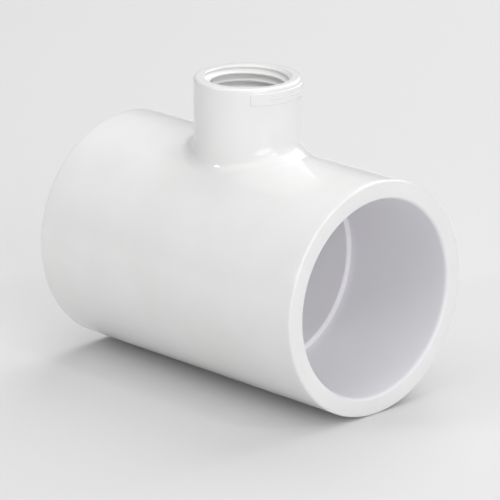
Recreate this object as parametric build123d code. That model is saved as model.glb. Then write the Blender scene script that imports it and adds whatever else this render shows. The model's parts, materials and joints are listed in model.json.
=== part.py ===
from build123d import *
import math
import os

os.makedirs("parts", exist_ok=True)

# A reducing pipe tee, white PVC: two slip sockets in line along X and a small
# female-threaded branch pointing up. The real fitting is one injection moulding, so
# the nodes below are regions of that moulding that meet on flat cuts, all on one body.
# Origin: where the run's axis and the branch's axis cross. +X along the run, +Z up the branch.

# Run, nominal 1-1/2 in
run_outer_r = 28.8
run_half_length = 43.8
socket_r = 24.2  # a pipe of 48.26 mm outside goes in
socket_depth = 32.5  # from the end face to the pipe stop
waterway_r = 22.9  # between the two pipe stops
lip_width = 0.75  # radial width of the lead-in at each mouth
lip_depth = 1.2
end_edge_round = 0.6

# Branch, nominal 1/2 in female pipe thread
branch_outer_r = 13.1
branch_height = 46.2  # to the top face
branch_edge_round = 0.8
saddle_round = 4.4  # where the branch grows out of the run
thread_wall_r = 9.16  # the crests of the thread at the mouth
thread_mouth_r = 10.7
thread_depth = 15.4  # from the top face to the end of the thread
branch_waterway_r = thread_wall_r - thread_depth / 32  # the thread's taper, 1 in 16 on diameter

# Raised band that carries the size marks
pad_height = 3.3
pad_below_top = 0.9
pad_proud = 0.3
pad_half_angle = 42.0  # degrees each side of +X
bar_height = 0.55
bar_proud = 0.15
bar_length_angle = 20.0
bar_angles = (-22.0, 6.0)  # where each raised bar starts, in degrees from +X

# Where the moulding is cut into regions
centre_half_length = 19.0  # just past the saddle's rounding
hub_cut_height = 34.0  # above the saddle's rounding

stop_x = run_half_length - socket_depth


def along_x(radius, x_from, x_to):
    """A round bar on the run's axis."""
    length = x_to - x_from
    return Pos((x_from + x_to) / 2, 0, 0) * Rot(0, 90, 0) * Cylinder(radius, length)


def upright(radius, z_from, z_to):
    """A round bar on the branch's axis."""
    return Pos(0, 0, (z_from + z_to) / 2) * Cylinder(radius, z_to - z_from)


def outer_body():
    """The solid outside shape: run, branch, the rounded saddle and the rounded edges."""
    run = along_x(run_outer_r, -run_half_length, run_half_length)
    run = fillet(run.edges().filter_by(GeomType.CIRCLE), end_edge_round)
    branch = upright(branch_outer_r, 0, branch_height)
    top_edge = branch.edges().filter_by(GeomType.CIRCLE).sort_by(Axis.Z)[-1]
    branch = fillet(top_edge, branch_edge_round)
    body = run + branch
    meeting = [
        e for e in body.edges()
        if e.geom_type not in (GeomType.CIRCLE, GeomType.LINE)
        and e.center().Z > 0
    ]
    return fillet(meeting, saddle_round)


def socket_space(side):
    """The hollow of one pipe socket, with its lead-in; side is 1 or -1 along X."""
    end = side * run_half_length
    stop = side * stop_x
    bore = along_x(socket_r, min(stop, end), max(stop, end))
    lead_in = Pos(end - side * lip_depth / 2, 0, 0) * Rot(0, 90 * side, 0) * Cone(
        socket_r, socket_r + lip_width, lip_depth
    )
    return bore + lead_in


def branch_space():
    """The hollow of the branch: mouth chamfer, thread wall, then the waterway."""
    mouth_depth = thread_mouth_r - thread_wall_r
    wall = upright(thread_wall_r, branch_height - thread_depth, branch_height)
    mouth = Pos(0, 0, branch_height - mouth_depth / 2) * Cone(
        thread_wall_r, thread_mouth_r, mouth_depth
    )
    waterway = upright(branch_waterway_r, 0, branch_height - thread_depth)
    return wall + mouth + waterway


def slab(x_from, x_to, z_from, z_to):
    """A block right across the fitting."""
    centre = ((x_from + x_to) / 2, 0, (z_from + z_to) / 2)
    return Pos(*centre) * Box(x_to - x_from, 4 * run_outer_r, z_to - z_from)


def curved_strip(inner_r, outer_r, start_angle, end_angle, z_from, z_to):
    """A strip that wraps the branch, from one angle to another."""
    ring = upright(outer_r, z_from, z_to) - upright(inner_r, z_from, z_to)
    reach = 3 * outer_r
    count = 6
    step = (end_angle - start_angle) / count
    angles = [math.radians(start_angle + step * i) for i in range(count + 1)]
    rim = [(reach * math.cos(a), reach * math.sin(a)) for a in angles]
    wedge = make_face(Polyline([(0, 0)] + rim + [(0, 0)]))
    return ring & Pos(0, 0, z_from) * extrude(wedge, z_to - z_from)


def marking_pad():
    """The raised band near the branch's top, with plain bars where sizes are marked."""
    top = branch_height - pad_below_top
    face_r = branch_outer_r + pad_proud
    pad = curved_strip(
        branch_outer_r, face_r, -pad_half_angle, pad_half_angle, top - pad_height, top
    )
    bar_z = top - pad_height / 2
    for start in bar_angles:
        pad += curved_strip(
            face_r, face_r + bar_proud, start, start + bar_length_angle,
            bar_z - bar_height / 2, bar_z + bar_height / 2,
        )
    return pad


def moulding():
    """The whole fitting in one piece, before it is cut into regions."""
    waterway = along_x(waterway_r, -stop_x, stop_x)
    hollow = waterway + socket_space(1) + socket_space(-1)
    return outer_body() - hollow - branch_space()


whole = moulding()
far = 2 * run_half_length
regions = {
    "run_centre": whole & slab(-centre_half_length, centre_half_length, -far, hub_cut_height),
    "run_socket_right": whole & slab(centre_half_length, far, -far, far),
    "run_socket_left": whole & slab(-far, -centre_half_length, -far, far),
    "branch_hub": whole & slab(
        -centre_half_length, centre_half_length, hub_cut_height, far
    ),
    "marking_pad": marking_pad(),
}

for name, region in regions.items():
    solids = region.solids()
    region = solids[0] if len(solids) == 1 else Compound(children=solids)
    region.label = name
    export_step(region, f"parts/{name}.step")
    box = region.bounding_box()
    print(name, len(solids), round(region.volume, 1), box.min, box.max)
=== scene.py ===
import json
import math

import bpy
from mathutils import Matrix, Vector


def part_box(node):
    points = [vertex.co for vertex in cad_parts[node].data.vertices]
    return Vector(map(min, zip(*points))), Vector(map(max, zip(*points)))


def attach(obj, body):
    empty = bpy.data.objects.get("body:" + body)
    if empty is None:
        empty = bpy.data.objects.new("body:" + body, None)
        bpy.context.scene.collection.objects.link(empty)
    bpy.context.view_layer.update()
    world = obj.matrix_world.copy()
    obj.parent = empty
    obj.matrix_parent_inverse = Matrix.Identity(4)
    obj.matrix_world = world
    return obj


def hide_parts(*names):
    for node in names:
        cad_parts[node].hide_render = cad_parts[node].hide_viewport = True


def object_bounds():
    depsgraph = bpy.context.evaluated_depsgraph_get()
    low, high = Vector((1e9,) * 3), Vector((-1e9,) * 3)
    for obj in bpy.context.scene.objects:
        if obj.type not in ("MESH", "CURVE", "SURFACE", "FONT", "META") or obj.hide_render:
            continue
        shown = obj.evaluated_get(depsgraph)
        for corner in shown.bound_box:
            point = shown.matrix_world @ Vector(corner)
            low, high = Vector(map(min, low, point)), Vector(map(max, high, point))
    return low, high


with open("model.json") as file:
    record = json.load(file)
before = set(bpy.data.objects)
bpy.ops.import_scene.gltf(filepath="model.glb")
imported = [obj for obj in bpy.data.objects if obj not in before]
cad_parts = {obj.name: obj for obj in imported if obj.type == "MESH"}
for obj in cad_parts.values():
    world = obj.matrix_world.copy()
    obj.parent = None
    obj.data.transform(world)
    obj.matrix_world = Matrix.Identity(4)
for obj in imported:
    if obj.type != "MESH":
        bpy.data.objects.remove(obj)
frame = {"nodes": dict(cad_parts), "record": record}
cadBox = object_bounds()
print("frame loaded:", sorted(frame["nodes"]))

mm = 0.001


# One socket of a node tree. Sums and products on it add Math nodes.
class Wire:
    def __init__(self, maker, socket):
        self.maker = maker
        self.socket = socket

    def mathNode(self, operation, *values):
        return self.maker.node("ShaderNodeMath", {"operation": operation}, dict(enumerate(values)))

    def __add__(self, other):
        return self.mathNode("ADD", self, other)

    def __radd__(self, other):
        return self.mathNode("ADD", other, self)

    def __sub__(self, other):
        return self.mathNode("SUBTRACT", self, other)

    def __rsub__(self, other):
        return self.mathNode("SUBTRACT", other, self)

    def __mul__(self, other):
        return self.mathNode("MULTIPLY", self, other)

    def __rmul__(self, other):
        return self.mathNode("MULTIPLY", other, self)

    def __truediv__(self, other):
        return self.mathNode("DIVIDE", self, other)

    def __rtruediv__(self, other):
        return self.mathNode("DIVIDE", other, self)

    def apply(self, operation, *values):
        return self.mathNode(operation, self, *values)

    def clamp(self, low=0.0, high=1.0):
        return self.apply("MAXIMUM", low).apply("MINIMUM", high)


# Adds nodes to a tree. Settings go in first, then the values or wires of the sockets.
class NodeMaker:
    def __init__(self, tree):
        self.tree = tree

    def node(self, kind, settings=None, sockets=None, out=0):
        made = self.tree.nodes.new(kind)
        for name, value in (settings or {}).items():
            if name == "stops":
                self.setStops(made.color_ramp, value)
            else:
                setattr(made, name, value)
        for key, value in (sockets or {}).items():
            slot = made.inputs[key]
            for one in value if isinstance(value, list) else [value]:
                if isinstance(one, Wire):
                    self.tree.links.new(one.socket, slot)
                else:
                    slot.default_value = one
        return Wire(self, made.outputs[out])

    def setStops(self, ramp, stops):
        while len(ramp.elements) < len(stops):
            ramp.elements.new(0.5)
        for element, (place, colour) in zip(ramp.elements, stops):
            element.position = place
            element.color = colour


mounts = {mount["name"]: mount for mount in frame["record"]["mounts"]}
socketMount = mounts["run_socket_right"]["dims"]
threadMount = mounts["branch_thread"]["dims"]
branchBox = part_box("branch_hub")
leadInDepth = 1.2  # the mount's length leaves the lead-in out

# the moulding, sizes in millimetres; the outside sizes, the socket and the thread come from the frame
moulding = {
    "runRadius": -cadBox[0][2] / mm,
    "runHalfLength": cadBox[1][0] / mm,
    "endEdgeRound": 0.6,
    "socketRadius": socketMount["r_mm"],
    "socketDepth": socketMount["length_mm"] + leadInDepth,
    "lipWidth": 0.75,
    "lipDepth": leadInDepth,
    "stopRound": 0.35,
    "waterwayRadius": 22.9,
    "branchRadius": -branchBox[0][1] / mm,
    "branchHeight": cadBox[1][2] / mm,
    "branchEdgeRound": 0.8,
    "saddleRound": 4.4,
    "mouthRadius": 10.7,
    "crestRadius": threadMount["r_mm"],
    "threadHeight": 1.45,
    "threadPitch": 25.4 / 14,
    "threadDepth": 15.4,
    "runOut": 2.0,
    "patchHalfLength": 25.0,
    "innerPatchHalfLength": 10.4,
}
roundCount = 192  # steps round the run
branchCount = 256  # steps round the branch, and round the patch that joins it to the run
patchHalfAngle = math.pi / 3  # how far the patch reaches down each side of the run
patchSteps = branchCount // 4
taper = 32.0  # the thread narrows by 1 in 32 on the radius
belowSteps = roundCount - roundCount // 3


def quarterTurns(step):
    return step * (4.0 / branchCount)


# where a ray round the branch meets the patch's rectangle: lengthwise and round the run, from -1 to 1
def rectangleEdge(step):
    turns = quarterTurns(step)
    fromFront = turns.apply("MINIMUM", 4.0 - turns)
    aside = (turns - 1.0).apply("ABSOLUTE")
    fromSide = aside.apply("MINIMUM", 4.0 - aside)
    along = (2.0 - 2.0 * fromFront).clamp(-1.0, 1.0)
    around = (2.0 - 2.0 * fromSide).clamp(-1.0, 1.0)
    return along, around


class Surface:
    def __init__(self, maker):
        self.maker = maker
        self.parts = []

    # a grid of rows x columns whose points go where place(row, column) says
    def sheet(self, rows, columns, place, turned=False):
        grid = self.maker.node("GeometryNodeMeshGrid", None, {
            "Vertices X": rows + 1, "Vertices Y": columns + 1})
        index = self.maker.node("GeometryNodeInputIndex")
        row = (index / (columns + 1.0) + 1e-5).apply("FLOOR")
        column = index - row * (columns + 1.0)
        x, y, z = place(row, column)
        where = self.maker.node("ShaderNodeCombineXYZ", None, {0: x, 1: y, 2: z})
        moved = self.maker.node("GeometryNodeSetPosition", None, {"Geometry": grid, "Position": where})
        if turned:
            moved = self.maker.node("GeometryNodeFlipFaces", None, {"Mesh": moved})
        self.parts.append(moved)

    # a strip turned about the run's axis; outline(row) gives the distance out and along
    def turnedAboutRun(self, rows, outline, turned=False):
        def place(row, column):
            angle = column * (2 * math.pi / roundCount)
            out, along = outline(row)
            return along, out * angle.apply("SINE"), out * angle.apply("COSINE")
        self.sheet(rows, roundCount, place, turned)

    # the same about the branch's axis
    def turnedAboutBranch(self, rows, outline, turned=False):
        def place(row, column):
            angle = column * (2 * math.pi / branchCount)
            out, up = outline(row, angle)
            return out * angle.apply("COSINE"), out * angle.apply("SINE"), up
        self.sheet(rows, branchCount, place, turned)


def mix(start, end, share):
    return start + (end - start) * share


# the patch of a round wall between its rectangle and the oval where the branch joins
def joiningPatch(surface, rows, radius, halfLength, reach, ovalRadius, ease, turned):
    def place(row, column):
        share = (row / float(rows)).apply("POWER", ease)
        angle = column * (2 * math.pi / branchCount)
        along, aside = rectangleEdge(column)
        ovalAlong = reach * angle.apply("COSINE")
        ovalTurn = (reach * angle.apply("SINE") / ovalRadius).apply("ARCSINE")
        x = mix(ovalAlong, along * halfLength, share)
        turn = mix(ovalTurn, aside * patchHalfAngle, share)
        return x, radius * turn.apply("SINE"), radius * turn.apply("COSINE")
    surface.sheet(rows, branchCount, place, turned)


# the rest of a round wall beside and below its patch
def lowerWall(surface, radius, halfLength, turned):
    def place(row, column):
        x = halfLength * (row * (2.0 / patchSteps) - 1.0)
        turn = patchHalfAngle + column * (2 * math.pi / roundCount)
        return x, radius * turn.apply("SINE"), radius * turn.apply("COSINE")
    surface.sheet(patchSteps, belowSteps, place, turned)


def buildMoulding(surface, s):
    saddleReach = s["branchRadius"] + s["saddleRound"]
    saddleOut = s["runRadius"] + s["saddleRound"]

    def saddleCentre(angle):
        aside = saddleReach * angle.apply("SINE")
        up = (saddleOut * saddleOut - aside * aside).apply("SQRT")
        return saddleReach * angle.apply("COSINE"), aside, up

    # outside of the run
    joiningPatch(surface, 26, s["runRadius"], s["patchHalfLength"], saddleReach, saddleOut, 1.25, False)
    lowerWall(surface, s["runRadius"], s["patchHalfLength"], False)

    # the saddle's rounding: an arc from the run's wall to the branch's
    saddleRows = 16

    def saddle(row, column):
        angle = column * (2 * math.pi / branchCount)
        x, y, z = saddleCentre(angle)
        spread = (y * angle.apply("SINE") / saddleOut).apply("ARCCOSINE")
        share = row / float(saddleRows)
        fromRun = ((1.0 - share) * spread).apply("SINE") / spread.apply("SINE")
        fromBranch = (share * spread).apply("SINE") / spread.apply("SINE")
        runPart = fromRun * s["saddleRound"] / saddleOut
        branchPart = fromBranch * s["saddleRound"]
        return (x - branchPart * angle.apply("COSINE"),
                y - runPart * y - branchPart * angle.apply("SINE"),
                z - runPart * z)
    surface.sheet(saddleRows, branchCount, saddle, True)

    # branch wall, rounded top edge and top face
    edgeStart = s["branchHeight"] - s["branchEdgeRound"]

    def branchWall(row, angle):
        x, y, z = saddleCentre(angle)
        return s["branchRadius"] + 0.0, mix(z, edgeStart, row / 14.0)
    surface.turnedAboutBranch(14, branchWall, True)

    def topEdge(row, angle):
        turn = row * (math.pi / 2 / 8)
        inner = s["branchRadius"] - s["branchEdgeRound"]
        return (inner + s["branchEdgeRound"] * turn.apply("COSINE"),
                edgeStart + s["branchEdgeRound"] * turn.apply("SINE"))
    surface.turnedAboutBranch(8, topEdge, True)

    def topFace(row, angle):
        inner = s["branchRadius"] - s["branchEdgeRound"]
        return mix(inner, s["mouthRadius"], row / 3.0), s["branchHeight"] + 0.0
    surface.turnedAboutBranch(3, topFace, True)

    # the thread: rows follow the helix, twelve to a turn, and stop at the face and at the thread's end
    threadTurns = 10
    rowsPerTurn = 12
    threadStart = 0.1  # where the thread starts at the face, in turns
    crestFlat = 0.1  # share of a half turn that is flat at the crest, and at the root

    def thread(row, angle):
        phase = row / float(rowsPerTurn)
        fromCrest = (phase.apply("FRACT") * 2.0 - 1.0).apply("ABSOLUTE")
        flank = ((fromCrest - crestFlat) / (1.0 - 2.0 * crestFlat)).clamp()
        rootShare = flank * flank * (3.0 - 2.0 * flank)
        depth = s["threadPitch"] * (phase - threadStart - angle / (2 * math.pi))
        depth = depth.apply("MAXIMUM", 0.0).apply("MINIMUM", s["threadDepth"])
        fade = ((s["threadDepth"] - depth) / s["runOut"]).clamp()
        out = s["crestRadius"] - depth / taper + s["threadHeight"] * rootShare * fade
        mouth = s["mouthRadius"] - depth
        return out.apply("MAXIMUM", mouth), s["branchHeight"] - depth
    surface.turnedAboutBranch(threadTurns * rowsPerTurn, thread, True)

    # the branch's waterway, down to where it opens into the run
    narrow = s["crestRadius"] - s["threadDepth"] / taper
    threadEnd = s["branchHeight"] - s["threadDepth"]

    def branchBore(row, angle):
        aside = narrow * angle.apply("SINE")
        meets = (s["waterwayRadius"] * s["waterwayRadius"] - aside * aside).apply("SQRT")
        return narrow + 0.0, mix(threadEnd, meets, row / 8.0)
    surface.turnedAboutBranch(8, branchBore, True)
    joiningPatch(surface, 14, s["waterwayRadius"], s["innerPatchHalfLength"], narrow,
                 s["waterwayRadius"], 1.0, True)
    lowerWall(surface, s["waterwayRadius"], s["innerPatchHalfLength"], True)

    for side in (1.0, -1.0):
        buildRunEnd(surface, s, side)


# one end of the run, from the outside wall round the lip and down the socket to the waterway
def buildRunEnd(surface, s, side):
    turned = side < 0
    end = s["runHalfLength"]
    edge = s["endEdgeRound"]
    stop = end - s["socketDepth"]
    lipRadius = s["socketRadius"] + s["lipWidth"]
    ledge = s["stopRound"]

    def straight(rows, start, finish):
        def outline(row):
            share = row / float(rows)
            return mix(start[0], finish[0], share), side * mix(start[1], finish[1], share)
        surface.turnedAboutRun(rows, outline, turned)

    # a quarter round about a middle, from one direction to another, in quarter turns from straight out
    def arc(rows, middle, radius, first, last):
        def outline(row):
            turn = (first + (last - first) * row / float(rows)) * (math.pi / 2)
            return (middle[0] + radius * turn.apply("COSINE"),
                    side * (middle[1] + radius * turn.apply("SINE")))
        surface.turnedAboutRun(rows, outline, turned)

    straight(12, (s["runRadius"], s["patchHalfLength"]), (s["runRadius"], end - edge))
    arc(6, (s["runRadius"] - edge, end - edge), edge, 0.0, 1.0)
    straight(3, (s["runRadius"] - edge, end), (lipRadius, end))

    # lead-in that bends over smoothly into the socket
    def leadIn(row):
        turn = row * (math.pi / 2 / 8)
        return (s["socketRadius"] + s["lipWidth"] * (1.0 - turn.apply("SINE")),
                side * (end - s["lipDepth"] * (1.0 - turn.apply("COSINE"))))
    surface.turnedAboutRun(8, leadIn, turned)
    straight(16, (s["socketRadius"], end - s["lipDepth"]), (s["socketRadius"], stop + ledge))
    arc(4, (s["socketRadius"] - ledge, stop + ledge), ledge, 0.0, -1.0)
    straight(1, (s["socketRadius"] - ledge, stop), (s["waterwayRadius"] + ledge, stop))
    arc(4, (s["waterwayRadius"] + ledge, stop - ledge), ledge, 1.0, 2.0)
    straight(2, (s["waterwayRadius"], stop - ledge), (s["waterwayRadius"], s["innerPatchHalfLength"]))


# a new Geometry Nodes tree with one named length input for each size, in metres
def startTree(name, sizes):
    tree = bpy.data.node_groups.new(name, "GeometryNodeTree")
    tree.interface.new_socket("Geometry", in_out="OUTPUT", socket_type="NodeSocketGeometry")
    for key in sizes:
        tree.interface.new_socket(key, in_out="INPUT", socket_type="NodeSocketFloat")
    maker = NodeMaker(tree)
    group = tree.nodes.new("NodeGroupInput")
    wires = {key: Wire(maker, group.outputs[key]) for key in sizes}
    return maker, wires


# joins the parts, closes their seams, keeps corners crisp and gives the result its material
def endTree(maker, parts, material, cornerDegrees=32.0, weld=0.004 * mm):
    joined = maker.node("GeometryNodeJoinGeometry", None, {"Geometry": parts})
    welded = maker.node("GeometryNodeMergeByDistance", None, {"Geometry": joined, "Distance": weld})
    bend = maker.node("GeometryNodeInputMeshEdgeAngle")
    corner = maker.node("FunctionNodeCompare", {"data_type": "FLOAT", "operation": "GREATER_THAN"},
                        {0: bend, 1: math.radians(cornerDegrees)})
    smooth = maker.node("GeometryNodeSetShadeSmooth", {"domain": "FACE"}, {"Geometry": welded})
    crisp = maker.node("GeometryNodeSetShadeSmooth", {"domain": "EDGE"},
                       {"Geometry": smooth, "Selection": corner, "Shade Smooth": False})
    real = maker.node("GeometryNodeRealizeInstances", None, {"Geometry": crisp})
    finished = maker.node("GeometryNodeSetMaterial", None, {"Geometry": real, "Material": material})
    out = maker.tree.nodes.new("NodeGroupOutput")
    maker.tree.links.new(finished.socket, out.inputs[0])


# runs the tree with its sizes and keeps the result as a plain mesh piece
def bake(name, tree, sizes, material):
    seed = bpy.data.meshes.new(name + "Seed")
    holder = bpy.data.objects.new(name + "Holder", seed)
    bpy.context.scene.collection.objects.link(holder)
    modifier = holder.modifiers.new("shape", "NODES")
    modifier.node_group = tree
    for item in tree.interface.items_tree:
        if item.in_out == "INPUT" and item.name in sizes:
            modifier[item.identifier] = sizes[item.name] * mm
    bpy.context.view_layer.update()
    evaluated = holder.evaluated_get(bpy.context.evaluated_depsgraph_get())
    mesh = bpy.data.meshes.new_from_object(evaluated)
    holder.modifiers.remove(modifier)
    bpy.data.objects.remove(holder)
    mesh.name = name
    mesh.materials.clear()
    mesh.materials.append(material)
    for face in mesh.polygons:
        face.material_index = 0
    piece = bpy.data.objects.new(name, mesh)
    bpy.context.scene.collection.objects.link(piece)
    print(name, len(mesh.vertices), "points", len(mesh.polygons), "faces")
    return piece


# white PVC as it comes from the mould, lengths in millimetres
plastic = {
    "light": (0.885, 0.885, 0.885, 1.0),
    "dull": (0.835, 0.835, 0.83, 1.0),
    "scuff": (0.79, 0.785, 0.775, 1.0),
    "inner": (0.885, 0.875, 0.91, 1.0),  # painted shade: the faint violet cast of shade inside the sockets and waterway
    "cloudSize": 22.0,
    "peelSize": 0.55,
    "flowLength": 30.0,
    "flowWidth": 3.0,
    "partingWidth": 0.16,
    "roughness": 0.16,
    "innerRoughness": 0.43,
    "ior": 1.53,
    "speckSize": 1.4,
    "endWearReach": 1.3,
    "topWearReach": 1.2,
    "wearTint": 0.3,
    "peelHeight": 0.004,
    "flowHeight": 0.010,
    "partingHeight": 0.025,
    "wearDepth": 0.012,
}


def whitePvc():
    p = plastic
    s = moulding
    material = bpy.data.materials.new("whitePvc")
    material.use_nodes = True
    maker = NodeMaker(material.node_tree)
    shader = material.node_tree.nodes["Principled BSDF"]
    place = maker.node("ShaderNodeTexCoord", out=3)
    inMm = maker.node("ShaderNodeVectorMath", {"operation": "SCALE"}, {0: place, 3: 1 / mm})
    x, y, z = [maker.node("ShaderNodeSeparateXYZ", None, {0: inMm}, axis) for axis in range(3)]

    def noise(vector, size, detail=2.0, rough=0.5):
        return maker.node("ShaderNodeTexNoise", None, {
            "Vector": vector, "Scale": 1.0 / size, "Detail": detail, "Roughness": rough})

    fromRun = (y * y + z * z).apply("SQRT")
    fromBranch = (x * x + y * y).apply("SQRT")
    reach = x.apply("ABSOLUTE")

    # the hollow inside: within the sockets and the waterway, or within the branch's bore
    inRun = ((s["socketRadius"] + 0.6 - fromRun) * 4.0).clamp()
    inBranch = ((s["mouthRadius"] - fromBranch) * 4.0).clamp() * z.clamp()
    inside = inRun.apply("MAXIMUM", inBranch)

    # broad clouding, fine orange peel, and flow marks drawn out along the run
    cloud = noise(inMm, p["cloudSize"], 3.0, 0.55)
    peel = noise(inMm, p["peelSize"], 2.0, 0.5)
    drawnOut = maker.node("ShaderNodeCombineXYZ", None, {
        0: x / p["flowLength"], 1: y / p["flowWidth"], 2: z / p["flowWidth"]})
    flow = noise(drawnOut, 1.0, 1.0, 0.5)
    specks = noise(inMm, p["speckSize"], 5.0, 0.7)

    # the parting line runs round the outside on the plane of the two axes
    parting = (1.0 - y.apply("ABSOLUTE") / p["partingWidth"]).clamp() * (1.0 - inside)

    # light wear on the sockets' end edges and the branch's top edge
    endGap = reach - s["runHalfLength"]
    wallGap = fromRun - s["runRadius"]
    endWear = 1.0 - (endGap * endGap + wallGap * wallGap).apply("SQRT") / p["endWearReach"]
    topGap = z - s["branchHeight"]
    rimGap = fromBranch - s["branchRadius"]
    topWear = 1.0 - (topGap * topGap + rimGap * rimGap).apply("SQRT") / p["topWearReach"]
    wear = endWear.apply("MAXIMUM", topWear).clamp() * ((specks - 0.5) * 5.0).clamp()

    base = maker.node("ShaderNodeMix", {"data_type": "RGBA"}, {
        "Factor": ((cloud - 0.35) * 2.2).clamp(), 6: p["dull"], 7: p["light"]}, 2)
    # painted shade: a violet tint inside the sockets and waterway, standing in for the cast of shade in
    # the hollows
    shadeTinted = maker.node("ShaderNodeMix", {"data_type": "RGBA"}, {
        "Factor": inRun * 0.8, 6: base, 7: p["inner"]}, 2)
    worn = maker.node("ShaderNodeMix", {"data_type": "RGBA"}, {
        "Factor": wear * p["wearTint"], 6: shadeTinted, 7: p["scuff"]}, 2)
    gloss = p["roughness"] + (p["innerRoughness"] - p["roughness"]) * inside
    gloss = gloss + (cloud - 0.5) * 0.08 + (flow - 0.5) * 0.05 + wear * 0.04
    height = peel * p["peelHeight"] + flow * p["flowHeight"]
    height = height + parting * p["partingHeight"] - wear * p["wearDepth"]
    bump = maker.node("ShaderNodeBump", None, {
        "Strength": 1.0, "Distance": mm, "Height": height})
    for name, value in {"Base Color": worn, "Roughness": gloss.clamp(0.1, 0.9), "Normal": bump}.items():
        material.node_tree.links.new(value.socket, shader.inputs[name])
    shader.inputs["IOR"].default_value = p["ior"]
    return material


# the raised band for size marks, with plain bars in place of lettering, in millimetres and degrees
band = {
    "halfAngle": 42.0,
    "height": 3.3,
    "belowTop": 0.9,
    "proud": 0.3,
    "barProud": 0.15,
    "barHeight": 0.55,
    "barAngle": 20.0,
    "edgeRound": 0.25,
    "sunk": 0.12,
    "backSunk": 0.45,
}
barStarts = (-22.0, 6.0)
bandRows = 48
bandColumns = 260


def buildBand(surface, b):
    radius = moulding["branchRadius"]
    middle = moulding["branchHeight"] - b["belowTop"] - b["height"] / 2
    reach = math.radians(b["halfAngle"])

    # how far inside a rectangle a point is, eased to a rounded step from 0 to 1
    def step(along, up, halfLength, halfHeight):
        inward = (halfLength - along.apply("ABSOLUTE")).apply("MINIMUM", halfHeight - up.apply("ABSOLUTE"))
        share = (inward / b["edgeRound"]).clamp()
        return share * share * (3.0 - 2.0 * share)

    def place(row, column, face):
        up = (row * (2.0 / bandRows) - 1.0) * (b["height"] / 2)
        turn = (column * (2.0 / bandColumns) - 1.0) * reach
        along = turn * radius
        whole = step(along, up, reach * radius, b["height"] / 2)
        if face:
            out = whole * (b["proud"] + b["sunk"])
            for start in barStarts:
                centre = math.radians(start + b["barAngle"] / 2) * radius
                length = math.radians(b["barAngle"]) * radius / 2
                out = out + step(along - centre, up, length, b["barHeight"] / 2) * b["barProud"]
        else:
            out = whole * -(b["backSunk"] - b["sunk"])
        out = out + (radius - b["sunk"])
        return out * turn.apply("COSINE") * mm, out * turn.apply("SINE") * mm, (up + middle) * mm

    surface.sheet(bandRows, bandColumns, lambda row, column: place(row, column, True), True)
    surface.sheet(bandRows, bandColumns, lambda row, column: place(row, column, False), False)


whitePvcMaterial = whitePvc()
maker, wires = startTree("mouldingShape", moulding)
surface = Surface(maker)
buildMoulding(surface, wires)
endTree(maker, surface.parts, whitePvcMaterial)
tee = bake("tee_moulding", maker.tree, moulding, whitePvcMaterial)
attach(tee, "root")
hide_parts("run_centre", "run_socket_right", "run_socket_left", "branch_hub")
print("moulding built")

maker, wires = startTree("bandShape", {})
surface = Surface(maker)
buildBand(surface, band)
endTree(maker, surface.parts, whitePvcMaterial, cornerDegrees=80.0)
mark = bake("marking_band", maker.tree, {}, whitePvcMaterial)
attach(mark, "root")
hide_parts("marking_pad")
print("marking band built")

# camera: a long lens about a metre away, looking down a little at the fitting's open end;
# angles in degrees, distance and aim in millimetres
studio = {
    "azimuth": 46.0,
    "elevation": 17.5,
    "distance": 980.0,
    "lens": 290.0,
    "aimHeight": 2.3,
    "aimAside": 0.5,
    "floorTone": 0.72,
    "floorHalf": 3.0,  # in metres
    "worldStrength": 0.25,
}


# the way from the fitting towards a place round it, in degrees from the front and above the floor
def directionOf(azimuth, elevation):
    a = math.radians(azimuth)
    e = math.radians(elevation)
    return Vector((math.sin(a) * math.cos(e), -math.cos(a) * math.cos(e), math.sin(e)))


def makeCamera():
    back = directionOf(studio["azimuth"], studio["elevation"])
    data = bpy.data.cameras.new("studioCamera")
    data.sensor_width = 36.0
    data.lens = studio["lens"]
    data.clip_start = 0.01
    data.clip_end = 100.0
    camera = bpy.data.objects.new("studioCamera", data)
    bpy.context.scene.collection.objects.link(camera)
    aside = Vector((0, 0, 1)).cross(back).normalized() * studio["aimAside"]
    camera.location = (back * studio["distance"] + aside + Vector((0, 0, studio["aimHeight"]))) * mm
    camera.rotation_euler = back.to_track_quat("Z", "Y").to_euler()
    bpy.context.scene.camera = camera


def makeFloor():
    mesh = bpy.data.meshes.new("floor")
    half = studio["floorHalf"]
    low = -moulding["runRadius"] * mm
    corners = [(-half, -half, low), (half, -half, low), (half, half, low), (-half, half, low)]
    mesh.from_pydata(corners, [], [(0, 1, 2, 3)])
    floor = bpy.data.objects.new("floor", mesh)
    bpy.context.scene.collection.objects.link(floor)
    material = bpy.data.materials.new("floorPaper")
    material.use_nodes = True
    shader = material.node_tree.nodes["Principled BSDF"]
    tone = studio["floorTone"]
    shader.inputs["Base Color"].default_value = (tone, tone, tone, 1.0)
    shader.inputs["Roughness"].default_value = 0.8
    mesh.materials.append(material)


# soft lights and two small lamps for crisp highlights at the foot of the branch:
# degrees to the right of the camera, degrees up, width in metres and power in watts
lightDistance = 1.3
softLights = {
    "overhead": (0, 75, 1.4, 7),
    "key": (25, 18, 0.8, 6),
    "fill": (-60, 45, 0.8, 2),
    "behind": (150, 45, 1.2, 10),
    "leftLamp": (-75, 20, 0.08, 1.5),
    "rightLamp": (45, 50, 0.08, 1.0),
}


def hangLights():
    for name, (swing, elevation, width, power) in softLights.items():
        data = bpy.data.lights.new(name, "AREA")
        data.size = width
        data.energy = power
        light = bpy.data.objects.new(name, data)
        bpy.context.scene.collection.objects.link(light)
        way = directionOf(studio["azimuth"] + swing, elevation)
        light.location = way * lightDistance
        light.rotation_euler = way.to_track_quat("Z", "Y").to_euler()


makeCamera()
makeFloor()
hangLights()
world = bpy.data.worlds.new("studioWorld")
world.use_nodes = True
world.node_tree.nodes["Background"].inputs["Color"].default_value = (1, 1, 1, 1)
world.node_tree.nodes["Background"].inputs["Strength"].default_value = studio["worldStrength"]
bpy.context.scene.world = world
bpy.context.scene.view_settings.view_transform = "Standard"
print("studio set")
